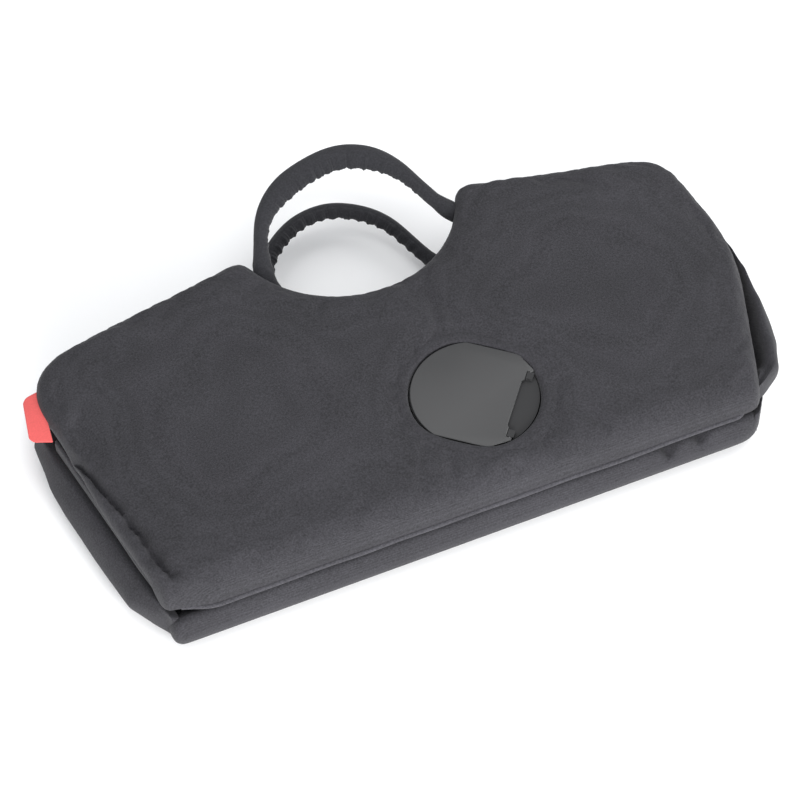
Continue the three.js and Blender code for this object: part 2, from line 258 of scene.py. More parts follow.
def inset(points, distance):
    """A counter-clockwise outline moved inwards."""
    before, after = np.roll(points, 1, axis=0), np.roll(points, -1, axis=0)
    along = after - before
    along /= np.linalg.norm(along, axis=1)[:, None]
    inward = np.stack([-along[:, 1], along[:, 0]], 1)
    return points + inward * distance


def distance_inside(points, outline):
    """Distance from each point to the outline, in mm."""
    starts, ends = outline, np.roll(outline, -1, axis=0)
    along = ends - starts
    lengths = (along ** 2).sum(1)
    best = np.full(len(points), 1e9)
    for start, vector, length in zip(starts, along, lengths):
        t = np.clip(((points - start) @ vector) / length, 0, 1)
        gap = points - start - t[:, None] * vector
        best = np.minimum(best, (gap ** 2).sum(1))
    return np.sqrt(best)


def end_x(side, y):
    """X of the line that an end gusset is sewn to, at height y up the wall."""
    bottom = FOOT_X if side < 0 else HEAD_X
    top = SEAM_TOP_FOOT if side < 0 else SEAM_TOP_HEAD
    return bottom + (top[0] - bottom) * y / top[1]


# ---- Materials ----
def principled(name, colour, roughness, metallic=0.0, sheen=0.0, coat=0.0):
    material = bpy.data.materials.new(name)
    material.use_nodes = True
    shader = material.node_tree.nodes["Principled BSDF"]
    shader.inputs["Base Color"].default_value = (*colour, 1)
    shader.inputs["Roughness"].default_value = roughness
    shader.inputs["Metallic"].default_value = metallic
    shader.inputs["Sheen Weight"].default_value = sheen
    shader.inputs["Coat Weight"].default_value = coat
    return material, shader


def link(tree, out, into):
    tree.links.new(out, into)


def node(tree, kind, **values):
    made = tree.nodes.new(kind)
    for key, value in values.items():
        if key in made.inputs:
            made.inputs[key].default_value = value
        else:
            setattr(made, key, value)
    return made


def maths(tree, operation, a, b):
    made = tree.nodes.new("ShaderNodeMath")
    made.operation = operation
    for socket, value in zip(made.inputs, (a, b)):
        if isinstance(value, (int, float)):
            socket.default_value = value
        else:
            link(tree, value, socket)
    return made.outputs[0]


def woven(name, colour, pitch=1.1, spread=0.26, strength=0.4, sheen=0.08, roughness=0.88):
    """Plain-weave cloth: crossed threads, slight slubs, and soft patches of lighter cloth."""
    material, shader = principled(name, colour, roughness, sheen=sheen)
    shader.inputs["Specular IOR Level"].default_value = 0.25
    tree = material.node_tree
    place = node(tree, "ShaderNodeTexCoord").outputs["Object"]
    threads = []
    for direction in ("X", "Y", "Z"):
        wave = node(tree, "ShaderNodeTexWave", bands_direction=direction)
        wave.inputs["Scale"].default_value = 1 / (pitch * MM * math.pi)
        wave.inputs["Distortion"].default_value = 0.6
        wave.inputs["Detail"].default_value = 1.0
        wave.inputs["Detail Scale"].default_value = 0.4
        link(tree, place, wave.inputs["Vector"])
        threads.append(wave.outputs["Fac"])
    weave = maths(tree, "MULTIPLY", maths(tree, "ADD", threads[0], threads[1]), 0.5)
    weave = maths(tree, "ADD", weave, maths(tree, "MULTIPLY", threads[2], 0.25))
    slub = node(tree, "ShaderNodeTexNoise", Scale=520.0, Detail=2.0)
    patch = node(tree, "ShaderNodeTexNoise", Scale=11.0, Detail=4.0)
    for texture in (slub, patch):
        link(tree, place, texture.inputs["Vector"])
    tone = maths(tree, "ADD", maths(tree, "MULTIPLY", slub.outputs["Fac"], 0.74),
                 maths(tree, "MULTIPLY", patch.outputs["Fac"], 0.26))
    tone = maths(tree, "ADD", maths(tree, "MULTIPLY", tone, 0.8),
                 maths(tree, "MULTIPLY", weave, 0.16))
    colours = node(tree, "ShaderNodeValToRGB")
    dark = [c * (1 - spread * 2.2) for c in colour]
    light = [min(1, c * (1 + spread * 2.4)) for c in colour]
    colours.color_ramp.elements[0].position = 0.25
    colours.color_ramp.elements[0].color = (*dark, 1)
    colours.color_ramp.elements[1].position = 0.75
    colours.color_ramp.elements[1].color = (*light, 1)
    link(tree, tone, colours.inputs["Fac"])
    link(tree, colours.outputs["Color"], shader.inputs["Base Color"])
    height = maths(tree, "ADD", weave, maths(tree, "MULTIPLY", slub.outputs["Fac"], 0.8))
    bump = node(tree, "ShaderNodeBump", Strength=strength, Distance=0.0006)
    link(tree, height, bump.inputs["Height"])
    link(tree, bump.outputs["Normal"], shader.inputs["Normal"])
    return material


def moulded(name, colour, roughness, coat=0.0, specular=0.5):
    """Moulded plastic: fine spark-eroded grain, cloudy gloss, and a painted highlight of paler colour on the
    sharp edges.
    """
    material, shader = principled(name, colour, roughness, coat=coat)
    shader.inputs["Coat Roughness"].default_value = 0.25
    shader.inputs["Specular IOR Level"].default_value = specular
    tree = material.node_tree
    place = node(tree, "ShaderNodeTexCoord").outputs["Object"]
    fine = node(tree, "ShaderNodeTexNoise", Scale=1500.0, Detail=2.0)
    cloud = node(tree, "ShaderNodeTexNoise", Scale=22.0, Detail=5.0)
    for texture in (fine, cloud):
        link(tree, place, texture.inputs["Vector"])
    # Painted highlight: the bevelled edges get a paler colour in place of the key light's glint on them.
    edges = node(tree, "ShaderNodeNewGeometry").outputs["Pointiness"]
    edge_highlight = node(tree, "ShaderNodeMapRange")
    edge_highlight.inputs["From Min"].default_value = 0.5
    edge_highlight.inputs["From Max"].default_value = 0.58
    link(tree, edges, edge_highlight.inputs["Value"])
    # The mix runs from the plastic's colour to the paler colour of the painted edge highlight, plus the
    # cloudy tone.
    mix = node(tree, "ShaderNodeMix", data_type="RGBA")
    mix.inputs[6].default_value = (*colour, 1)
    mix.inputs[7].default_value = (*[min(1, c * 2.1 + 0.03) for c in colour], 1)
    amount = maths(tree, "ADD", maths(tree, "MULTIPLY", edge_highlight.outputs["Result"], 0.6),
                   maths(tree, "MULTIPLY", cloud.outputs["Fac"], 0.18))
    link(tree, amount, mix.inputs[0])
    link(tree, mix.outputs[2], shader.inputs["Base Color"])
    gloss = maths(tree, "ADD", maths(tree, "MULTIPLY", cloud.outputs["Fac"], 0.16), roughness - 0.08)
    link(tree, gloss, shader.inputs["Roughness"])
    bump = node(tree, "ShaderNodeBump", Strength=0.05, Distance=0.0003)
    link(tree, fine.outputs["Fac"], bump.inputs["Height"])
    link(tree, bump.outputs["Normal"], shader.inputs["Normal"])
    return material


def brushed(name):
    material, shader = principled(name, (0.45, 0.45, 0.46), 0.35, metallic=1.0)
    tree = material.node_tree
    place = node(tree, "ShaderNodeTexCoord").outputs["Object"]
    stretch = node(tree, "ShaderNodeMapping")
    stretch.inputs["Scale"].default_value = (900, 900, 60)
    link(tree, place, stretch.inputs["Vector"])
    grain = node(tree, "ShaderNodeTexNoise", Scale=1.0, Detail=4.0)
    link(tree, stretch.outputs["Vector"], grain.inputs["Vector"])
    rough = maths(tree, "ADD", maths(tree, "MULTIPLY", grain.outputs["Fac"], 0.25), 0.22)
    link(tree, rough, shader.inputs["Roughness"])
    return material


def fibreboard(name):
    material, shader = principled(name, (0.26, 0.19, 0.12), 0.85)
    tree = material.node_tree
    place = node(tree, "ShaderNodeTexCoord").outputs["Object"]
    fibre = node(tree, "ShaderNodeTexNoise", Scale=260.0, Detail=6.0)
    link(tree, place, fibre.inputs["Vector"])
    colours = node(tree, "ShaderNodeValToRGB")
    colours.color_ramp.elements[0].color = (0.17, 0.12, 0.07, 1)
    colours.color_ramp.elements[1].color = (0.34, 0.26, 0.17, 1)
    link(tree, fibre.outputs["Fac"], colours.inputs["Fac"])
    link(tree, colours.outputs["Color"], shader.inputs["Base Color"])
    bump = node(tree, "ShaderNodeBump", Strength=0.3, Distance=0.0005)
    link(tree, fibre.outputs["Fac"], bump.inputs["Height"])
    link(tree, bump.outputs["Normal"], shader.inputs["Normal"])
    return material


CLOTH = woven("cover_cloth", (0.0248, 0.0240, 0.0278), spread=0.34)
# The hem's cloth is the cover cloth painted about 1.7 times lighter: a painted highlight along the bottom
# roll's edge.
HEM_HIGHLIGHT = woven("hem_cloth_painted_highlight", (0.043, 0.042, 0.048), spread=0.30)
LINING = woven("lining_cloth", (0.024, 0.0235, 0.027), pitch=0.8, sheen=0.05, roughness=0.95)
SLEEVE = woven("handle_cloth", (0.020, 0.020, 0.0235), pitch=0.8, strength=0.5, sheen=0.10)
TAG = woven("tag_cloth", (0.66, 0.105, 0.100), pitch=0.5, spread=0.05, strength=0.2, sheen=0.1)
PLATE = moulded("hub_plate_plastic", (0.0115, 0.0115, 0.0120), 0.42, coat=0.15)
# The plate's plastic painted over twice as dark: painted shade on the hub's base and backing ring in their
# recess.
DISC_SHADED = moulded("hub_disc_plastic_painted_shade", (0.005, 0.005, 0.0055), 0.55, specular=0.12)
STEEL = brushed("zinc_steel")
BOARD = fibreboard("hardboard")


# ---- Padded walls ----
EDGE_RADIUS = 16.0
OUTLINES = {"front": wall_outline(10.0, 16.0), "back": wall_outline(10.0, 26.0)}
VOXEL = {"front": 5.0, "back": 6.0}
HUB_FLAT = 64.5  # half width of the hub plate, across its hinge line
HUB_GAP = 2.0  # from the plate's edge to the cloth round it
PLATE_BACK, PLATE_FACE, PLATE_BEVEL = -4.2, -0.7, 1.2
SHARP_ANGLE = math.radians(40)
# The crease up the foot end of the front wall and the puckers up its head end: (height up the wall, x).
TUCK = [(24.0, -338.0), (50.0, -345.0), (80.0, -350.0), (120.0, -359.0), (216.0, -383.0)]
PUCKERS = [(0.0, 326.0), (26.0, 345.0), (120.0, 378.0), (185.0, 392.0)]
SAG = 8.0  # how far the front wall's bottom roll hangs below the wall's edge
POCKET_DEPTH = 14.8  # of the hub's place in a wall's padding
ROLL_CENTRE = {"front": 22.0, "back": 7.0}  # how much deeper a bottom roll's edge lies than the wall's middle
ROLL_INNER = {"front": -9.0, "back": 10.0}  # what its inner half gains in thickness
# Pinches in the back wall's bottom roll: (x, y, depth).
DENTS = [(224.0, -9.0, 22.0), (262.0, -8.0, 17.0)]
CLOTH_FRAMES = 12
CLOTH_PRESSURE = 4.0
CLOTH_CAP = 3.5  # the farthest that a point may move in the simulation


def wall_shell(name, side):
    """A closed cushion shape with round edges, remeshed into even squares."""
    middle = WALL / 2
    rings = []
    for turn in np.linspace(0, math.pi, 11):
        ring = inset(OUTLINES[side], EDGE_RADIUS * (1 - math.sin(turn)))
        rings.append(np.column_stack([ring, np.full(len(ring), middle - middle * math.cos(turn))]))
    obj = loft(name, rings, [CLOTH, LINING])
    modifier = obj.modifiers.new("remesh", "REMESH")
    modifier.mode = "VOXEL"
    modifier.voxel_size = VOXEL[side] * MM
    apply_modifiers(obj)
    return obj


def hub_axes(points):
    """(u, v) of design points round the hub: u towards the hinge, v across it."""
    offset = np.asarray(points)[:, :2] - np.array(HUB)
    c, s = math.cos(HUB_ANGLE), math.sin(HUB_ANGLE)
    return offset[:, 0] * c + offset[:, 1] * s, offset[:, 1] * c - offset[:, 0] * s


def hub_distance(points):
    """Distance outside the hub's opening in the cloth: a circle with two flat sides."""
    u, v = hub_axes(points)
    return np.maximum(np.hypot(u, v) - HUB_RADIUS, np.abs(v) - HUB_FLAT) - HUB_GAP


def front_relief(co, gap, outer):
    """Added depth of the front wall's outer face: crown, soft folds and puckers at both ends."""
    depth = -3.0 * ramp(gap, 10, 130)
    depth += 1.9 * noise_at(co * [1, 1, 0.3], 95, 1)
    depth += 0.9 * noise_at(co * [1.0, 0.8, 0.3], 32, 3) * ramp(gap, 110, 10)
    depth *= ramp(hub_distance(co), 12, 60)
    off = co[:, 0] - line_x(TUCK, co[:, 1])
    side_folds = np.exp(-(off / 24) ** 2) * noise_at(co * [0.35, 1, 0], 12, 8)
    depth += 1.6 * side_folds * ramp(co[:, 1], 190, 90)
    head_gap = line_x(PUCKERS, co[:, 1]) - co[:, 0]
    puckers = 3.0 * noise_at(co * [0.3, 1, 0], 14, 9) * ramp(co[:, 1], 230, 150)
    depth += np.exp(-((head_gap - 8) / 10) ** 2) * puckers
    ring = np.exp(-((hub_distance(co) - 16) / 8) ** 2)
    depth -= ring * 1.2 * noise_at(co * [1, 1, 0], 13, 5)
    return depth * outer


def shape_wall(obj, side):
    """Lays crown, fat bottom roll, hub pocket and soft folds over the plain cushion.

    Returns how firmly each vertex is held in the cloth simulation, from 0 to 1.
    """
    mesh = obj.data
    co = design_coordinates(mesh)
    middle = WALL / 2
    height = (middle - co[:, 2]) / middle  # 1 on the outer face, -1 on the inner face
    gap = distance_inside(co[:, :2], OUTLINES[side])
    outer, inner = np.clip(height, 0, 1), np.clip(-height, 0, 1)
    roll = ramp(co[:, 1], 36, 10)
    lifted = 1 - 0.15 * ramp(co[:, 0], FOOT_X + 75, FOOT_X) if side == "front" else 1
    centre = middle + roll * ROLL_CENTRE[side] * lifted
    inner_half = middle + roll * ROLL_INNER[side]
    depth = centre - np.where(height > 0, height * centre, height * inner_half)
    depth += inner * (0.8 * noise_at(co * [1, 1, 0.3], 95, 2) - 1.0) * ramp(gap, 5, 40)
    if side == "front":
        depth += front_relief(co, gap, outer)
        out = ramp(gap, 16, 3) * ramp(co[:, 0] - end_x(-1, co[:, 1]), 34, 8)
        co[:, 0] -= 8.0 * out * ramp(co[:, 1], 240, 110)
        co[:, 1] -= SAG * roll * ramp(gap, 22, 2) * ramp(co[:, 0], FOOT_X - 4, FOOT_X + 50)
    else:
        for x, y, deep in DENTS:
            near = np.exp(-((co[:, 0] - x) / 7) ** 2 - ((co[:, 1] - FOLD_OFFSET - y) / 10) ** 2)
            depth -= deep * near * inner
        depth += 1.2 * noise_at(co * [1, 1.5, 0.4], 60, 4) * roll * inner
        depth = np.maximum(depth, 0.0)
        co[:, 0] -= 5.0 * roll * ramp(co[:, 0], FOOT_X + 26, FOOT_X + 4)
    depth = np.where((hub_distance(co) < 4.0) & (height > 0), POCKET_DEPTH, depth)
    if side == "front":
        co[:, 2] = FRONT_FACE - depth
    else:
        co[:, 2] = depth
        co[:, 1] -= FOLD_OFFSET
    set_coordinates(mesh, to_row(co))
    lining = (height < -0.92) & (gap > 14)
    for polygon in mesh.polygons:
        polygon.material_index = int(all(lining[v] for v in polygon.vertices))
    seams = np.maximum(ramp(gap, 7, 3), ramp(hub_distance(co), 16, 8))
    return np.maximum(seams, inner)


def press_tuck(obj):
    """Pushes a sharp puckered crease into the front wall's foot end, with a soft ridge outside it."""
    co = design_coordinates(obj.data)
    wander = 2.2 * noise_at(co * [0, 1, 0], 16, 6)
    off = co[:, 0] - line_x(TUCK, co[:, 1]) - wander
    along = ramp(co[:, 1], 236, 190) * ramp(co[:, 1], 6, 30) * ramp(co[:, 2], 60, 76)
    spread = np.interp(co[:, 1], [30, 100, 200], [8.5, 6.0, 3.0])
    crease = np.exp(-(off / np.where(off > 0, spread, 2.6)) ** 2)
    ridge = np.exp(-((off + 13) / 8.0) ** 2)
    puckers = noise_at(co * [0.5, 1, 0], 9, 12) * np.exp(-((off - 5) / 9) ** 2)
    co[:, 2] += along * (3.0 * ridge - 13.0 * crease + 2.2 * puckers)
    set_coordinates(obj.data, to_row(co))


def build_hem():
    """The turned lower edge of the front wall's cover, along its bottom roll."""
    sections = []
    for x in np.arange(FOOT_X + 8, HEAD_X - 6, 4.0):
        ends = ramp(x, FOOT_X - 4, FOOT_X + 50) * ramp(x, HEAD_X - 6, HEAD_X - 30)
        wave = noise.noise(Vector((x / 60, 2.0, 0.4)))
        turn = np.linspace(0, 2 * math.pi, 12, endpoint=False)
        y = 3.4 - (SAG + 2.8) * ends + 0.7 * wave + 3.2 * np.cos(turn)
        z = 59.0 - 5.5 * ends + 1.0 * wave + 2.8 * np.sin(turn)
        sections.append(np.column_stack([np.full(12, x), y, z]))
    # The hem takes the lighter cloth, a painted highlight along the roll's lower edge.
    obj = loft("front_wall_hem", sections, [HEM_HIGHLIGHT])
    subdivide(obj)
    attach(obj, "front_wall")


def relax(obj, pinned):
    """Lets the cloth swell a little between its seams; no point moves farther than the cap."""
    before = coordinates(obj.data)
    group = obj.vertex_groups.new(name="sewn")
    for index, weight in enumerate(pinned):
        if weight > 0.02:
            group.add([index], float(weight), "REPLACE")
    cloth = obj.modifiers.new("cloth", "CLOTH")
    settings = cloth.settings
    settings.vertex_group_mass = "sewn"
    settings.use_pressure = True
    settings.uniform_pressure_force = CLOTH_PRESSURE
    settings.effector_weights.gravity = 0.0
    settings.shrink_min = -0.03
    settings.quality = 4
    settings.mass = 0.3
    settings.bending_stiffness = 0.3
    scene = bpy.context.scene
    cloth.point_cache.frame_start = 1
    cloth.point_cache.frame_end = CLOTH_FRAMES
    for frame_number in range(1, CLOTH_FRAMES + 1):
        scene.frame_set(frame_number)
    apply_modifiers(obj)
    scene.frame_set(1)
    obj.vertex_groups.clear()
    move = coordinates(obj.data) - before
    far = np.linalg.norm(move, axis=1)[:, None]
    kept = np.minimum(1, CLOTH_CAP * MM / np.maximum(far, 1e-9))
    set_coordinates(obj.data, before + move * kept)


def build_wall(side):
    obj = wall_shell(f"{side}_wall_padded", side)
    pinned = shape_wall(obj, side)
    if side == "front":
        face_outwards(obj.data)  # shape_wall turns this wall over
        relax(obj, pinned)
    subdivide(obj)
    if side == "front":
        press_tuck(obj)
    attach(obj, f"{side}_wall")
    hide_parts(f"{side}_wall_cover", f"{side}_wall_foam", f"{side}_wall_lining")


COLLAR_STEPS = 180
CORNER_POWER = 14  # how sharply the opening turns from its round part into its flat sides
# A slice of the collar: (distance outside the opening, depth under the wall's face).
COLLAR_PROFILE = [(0.0, 13.0), (-0.4, 7.0), (0.0, 3.0), (1.3, 0.8), (3.6, -0.5), (7.0, -0.9),
                  (12.0, -0.6), (17.0, 0.1), (22.0, 1.2), (20.0, 4.5), (8.0, 9.0), (3.0, 13.0)]


def hub_opening(distance):
    """Points round the hub's opening, a given distance outside it."""
    points = []
    for turn in np.linspace(0, 2 * math.pi, COLLAR_STEPS, endpoint=False):
        reach = HUB_RADIUS + HUB_GAP + distance
        side = (HUB_FLAT + HUB_GAP + distance) / max(abs(math.sin(turn)), 1e-6)
        blend = (reach ** -CORNER_POWER + side ** -CORNER_POWER) ** (-1 / CORNER_POWER)
        points.append((blend * math.cos(turn), blend * math.sin(turn)))
    return points


def build_collar(side):
    """The cloth hem that rolls down round the hub's opening."""
    rings = [hub_opening(distance) for distance, _ in COLLAR_PROFILE]
    points = []
    for step in range(COLLAR_STEPS):
        for ring, (distance, depth) in zip(rings, COLLAR_PROFILE):
            u, v = ring[step]
            wave = noise.noise(Vector((u / 8, v / 8, 3.3))) if 1 < distance < 15 else 0.0
            points.append((u, v, -depth + 0.6 * wave))
    faces = quads(COLLAR_STEPS, len(COLLAR_PROFILE), closed=True)
    obj = new_object(f"{side}_hub_collar", place(side, points), faces, [CLOTH])
    if side == "back":
        co = coordinates(obj.data)
        co[:, 2] = np.maximum(co[:, 2], 0.0)
        set_coordinates(obj.data, co)
    subdivide(obj)
    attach(obj, f"{side}_wall")


# ---- End gussets ----
def spline_loop(points, per_side=4):
    """A smooth closed loop through the given points."""
    points = np.asarray(points, float)
    out = []
    count = len(points)
    for i in range(count):
        p0, p1, p2, p3 = (points[(i + k) % count] for k in (-1, 0, 1, 2))
        out += [spline_point(p0, p1, p2, p3, t) for t in np.linspace(0, 1, per_side, endpoint=False)]
    return np.array(out)


SIDE_SEED = {"front": 5, "back": 4}
# How far each gusset half stands out of the wall's end: (height up the wall, bulge).
BULGE = {
    ("foot", "front"): [(4, 0.5), (20, 3), (60, 4), (150, 2), (248, 0.5)],
    ("foot", "back"): [(14, 0.5), (20, 1.5), (36, 12), (64, 25), (110, 26), (200, 24), (240, 19), (300, 6)],
    ("head", "front"): [(4, 5), (10, 17), (24, 29), (60, 31), (115, 22), (171, 9), (225, 2), (248, 1)],
    ("head", "back"): [(8, 0.5), (30, 2), (60, 9), (150, 9), (220, 3), (248, 1)],
}
# The walls' outline at the head end: (height up the wall, x).
HEAD_EDGE = [(0, 326), (26, 345), (120, 378), (160, 389), (190, 393), (250, 391)]


def edge_x(end, y):
    """X of a wall's outline at the end, at height y."""
    return end_x(end, y) if end < 0 else line_x(HEAD_EDGE, y)


def gusset_section(end, side, y, bulge, reach):
    """(outward, height) of one slice: a soft bulge outside the wall and the panel folded inside."""
    inside = {
        "front": [(-8, 51.5), (-24, 55.5), (-reach, 57.6), (-reach, 60.2), (-26, 60.3), (-9, 61.6)],
        "back": [(-22, 41.0), (-reach, 37.5), (-reach, 34.8), (-26, 34.6), (-9, 33.0)],
    }[side]
    if side == "back":
        outside = [(-1.5, 23.0), (0.45 * bulge, 13.0), (0.85 * bulge, 15.0), (bulge, 22.0),
                   (0.84 * bulge, 33.0), (0.5 * bulge, 44.0), (0.15 * bulge, 50.0), (-6, 46.0)]
    elif end < 0:
        outside = [(-3, 68.0), (0.55 * bulge, 66.0), (bulge, 60.0), (0.8 * bulge, 54.0), (0, 51.0)]
    else:
        slot = 50.0 + 24.0 * ramp(y, 48, 24)
        outside = [(-3, 64.0), (0.10 * bulge, slot), (0.22 * bulge, slot + 1), (0.45 * bulge, 73.0),
                   (0.72 * bulge, 78.0), (0.95 * bulge, 71.0), (bulge, 61.0), (0.9 * bulge, 52.0),
                   (0.6 * bulge, 46.0), (0.2 * bulge, 46.0)]
    return spline_loop(outside + inside)


def build_gusset(end, end_name, side):
    shift = 0.0 if side == "front" else -FOLD_OFFSET
    heights, bulges = zip(*BULGE[end_name, side])
    sections = []
    for y in np.arange(heights[0], heights[-1] + 1, 3.0):
        reach = max(min(y - HINGE_Y["front"] - 9.0, GUSSET_DEPTH), 9.0)
        bulge = np.interp(y, heights, bulges)
        loop = gusset_section(end, side, y, bulge, max(reach, 27.5))
        loop[:, 0] = np.maximum(loop[:, 0], -reach)
        wobble = noise_at([(y, 4.0 * i, 11.0) for i in range(len(loop))], 42, end * 2 + SIDE_SEED[side])
        crease = noise_at([(y * 0.4 + 1.6 * i, 2.0 * i, 5.0) for i in range(len(loop))], 17, end + 3)
        outward = np.clip(loop[:, 0] / max(bulge, 1), 0, 1) * min(1, bulge / 12)
        folds = 1 + 1.2 * ramp(y, 110, 40)
        loop[:, 0] += outward * (2.6 * wobble + 1.5 * crease)
        loop[:, 1] += outward * (2.0 * wobble + 2.0 * folds * crease)
        x = edge_x(end, y) + end * loop[:, 0]
        x = np.where(loop[:, 0] < -8, end_x(end, y) + end * loop[:, 0], x)
        sections.append(np.column_stack([x, np.full(len(loop), y + shift), loop[:, 1]]))
    obj = loft(f"{end_name}_gusset_{side}", sections, [CLOTH])
    subdivide(obj)
    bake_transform(obj)
    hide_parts(f"{end_name}_end_{side}")


# ---- Base ----
def build_base(side):
    """One half of the folding base: a cloth-covered board with a thin pad."""
    length = BASE_LENGTH[side]
    low_x, high_x = FOOT_X + 12, HEAD_X - 12
    y0, y1 = HINGE_Y[side] + 14.0, HINGE_Y[side] + length - 2.0
    z0, z1 = BASE_HEIGHTS[side]
    sections = []
    half = (z1 - z0) / 2
    middle_x = np.linspace(low_x + 10, high_x - 10, 70)
    for x in np.r_[low_x, low_x + 1.5, low_x + 4, middle_x, high_x - 4, high_x - 1.5, high_x]:
        squeeze = 1 - 0.55 * max(ramp(x, low_x + 4, low_x), ramp(x, high_x - 4, high_x))
        angles = np.linspace(0, 2 * math.pi, 40, endpoint=False)
        across, up = np.cos(angles), np.sin(angles)
        y = (y0 + y1) / 2 + np.sign(across) * np.abs(across) ** 0.18 * (y1 - y0) / 2
        z = (z0 + z1) / 2 + np.sign(up) * np.abs(up) ** 0.45 * half * squeeze
        sections.append(np.column_stack([np.full(len(y), x), y, z]))
    obj = loft(f"base_{side}_panel", sections, [LINING])
    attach(obj, f"base_{side}")
    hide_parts(f"base_{side}_cover", f"base_{side}_pad", f"base_{side}_board")


def cloth_strip(name, profile):
    """A strip of cloth along X whose slice follows the profile of (y, z) points."""
    profile = np.asarray(profile, float)
    t = np.linspace(0, len(profile) - 1, 18)
    path = np.stack([np.interp(t, range(len(profile)), profile[:, k]) for k in (0, 1)], 1)
    along = np.gradient(path, axis=0)
    along /= np.linalg.norm(along, axis=1)[:, None]
    side = np.stack([-along[:, 1], along[:, 0]], 1) * STRIP_THICKNESS / 2
    loop = np.vstack([path + side, (path - side)[::-1]])
    sections = []
    for x in np.linspace(FOOT_X + 12, HEAD_X - 12, 60):
        sections.append(np.column_stack([np.full(len(loop), x), loop[:, 0], loop[:, 1]]))
    obj = loft(name, sections, [LINING])
    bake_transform(obj)


def build_hinge_strips():
    """The cloth that joins each wall to its half of the base, and the two halves at the crease."""
    back, front = HINGE_Y["back"], HINGE_Y["front"]
    crease_y = back + BASE_LENGTH["back"]
    back_slice = [(back + 2, 41.0), (back + 6, 41.0), (back + 10, 42.0), (back + 16, 42.5)]
    cloth_strip("back_hinge_strip", back_slice)
    front_slice = [(front + 2, 57.0), (front + 6, 56.0), (front + 10, 54.0), (front + 16, 52.5)]
    cloth_strip("front_hinge_strip", front_slice)
    cloth_strip("base_crease_strip", [(crease_y - 8, 46.0), (crease_y - 2, 46.3), (crease_y - 0.4, 47.5),
                                      (crease_y - 2, 48.7), (crease_y - 8, 49.0)])


# ---- Handles ----
# The middle line of each loop, in its own plane, from the foot-end wall edge to the head-end one.
HANDLE_ROUTES = {
    "front": [(-108, -36), (-110, -8), (-89, 50), (-49, 82), (8, 96),
              (48, 87), (80, 60), (107, 11), (124, -12), (138, -24)],
    "back": [(-104, -38), (-105, 0), (-88, 60), (-48, 94), (-6, 103),
             (30, 91), (61, 62), (84, 10), (98, -20), (106, -40)],
}


def handle_path(side):
    """Even steps along the loop's smooth middle line, and its whole length."""
    ends = HANDLE_ROUTES[side]
    knots = np.array([ends[0]] + ends + [ends[-1]], float)
    points = []
    for p0, p1, p2, p3 in zip(knots, knots[1:], knots[2:], knots[3:]):
        points += [spline_point(p0, p1, p2, p3, t) for t in np.linspace(0, 1, 16, endpoint=False)]
    points = np.array(points)
    lengths = np.r_[0, np.cumsum(np.linalg.norm(np.diff(points, axis=0), axis=1))]
    at = np.arange(0, lengths[-1], 1.1)
    path = np.stack([np.interp(at, lengths, points[:, k]) for k in (0, 1)], 1)
    for _ in range(30):
        path[1:-1] = (path[:-2] + 2 * path[1:-1] + path[2:]) / 4
    return path, at, lengths[-1]


def build_handle(side, y, seed):
    """A padded sleeve gathered on its inner side over the webbing, and smooth outside."""
    path, at, total = handle_path(side)
    along = np.gradient(path, axis=0)
    along /= np.linalg.norm(along, axis=1)[:, None]
    outward = np.stack([-along[:, 1], along[:, 0]], 1)
    size = 0.76 + (HANDLE_FATNESS[side] - 0.76) * ramp(at, 70, 150) * ramp(total - at, 70, 150)
    size += 0.36 * ramp(at, 66, 22) + 0.26 * ramp(total - at, 50, 26)
    around = np.linspace(0, 2 * math.pi, 36, endpoint=False)
    across = np.cos(around)
    sections = []
    tilt, z = math.radians(HANDLE_TILT[side]), HANDLE_HEIGHT[side]
    for k, centre in enumerate(path):
        middle = ramp(at[k], 30, 70) * ramp(total - at[k], 36, 80)
        gather = ramp(across, 0.15, -0.6)
        pleat = noise.noise(Vector((at[k] / 3.4, seed, 0)))
        pleat += 0.7 * noise.noise(Vector((at[k] / 1.8, seed, 4)))
        scallop = math.sin(at[k] * 2 * math.pi / 15 + 2.4 * noise.noise(Vector((at[k] / 37, seed, 9))))
        ends = 0.10 * noise.noise(Vector((at[k] / 9, seed, 2))) * (1 - middle)
        radial = HANDLE_R * size[k] * (1 + gather * middle * (0.13 * pleat + HANDLE_SCALLOP[side] * scallop))
        radial = radial * (1 + ends * np.cos(5 * around + seed))
        tall = radial * np.sin(around) * (0.92 - 0.22 * (size[k] - 0.76) / 0.56)
        tall = tall * (1 - 0.09 * np.exp(-((across - 0.05) / 0.10) ** 2) * middle)
        wide = radial * across
        in_plane = centre[1] + outward[k, 1] * wide
        sections.append(np.column_stack([
            HANDLE_X + centre[0] + outward[k, 0] * wide,
            y + in_plane * math.cos(tilt) - tall * math.sin(tilt),
            z + in_plane * math.sin(tilt) + tall * math.cos(tilt),
        ]))
    obj = loft(f"{side}_handle_padded", sections, [SLEEVE])
    subdivide(obj)
    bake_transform(obj)
    tabs = [f"{side}_handle_tab_{end_name}" for end_name in ("foot", "head")]
    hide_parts(f"{side}_handle_sleeve", f"{side}_handle_core", *tabs)


# ---- Hub ----
def hub_matrix(side):
    """From hub axes (u, v, outward), outer face at 0, to the row frame, in mm."""
    turn = Matrix.Rotation(HUB_ANGLE, 4, "Z")
    if side == "front":
        return Matrix.Translation((HUB[0], HUB[1], FRONT_FACE)) @ turn
    flip = Matrix.Scale(-1, 4, (0, 0, 1))
    return Matrix.Translation((HUB[0], HUB[1] - FOLD_OFFSET, 0)) @ turn @ flip


def place(side, verts):
    matrix = hub_matrix(side)
    return to_row([matrix @ Vector(v) for v in verts])


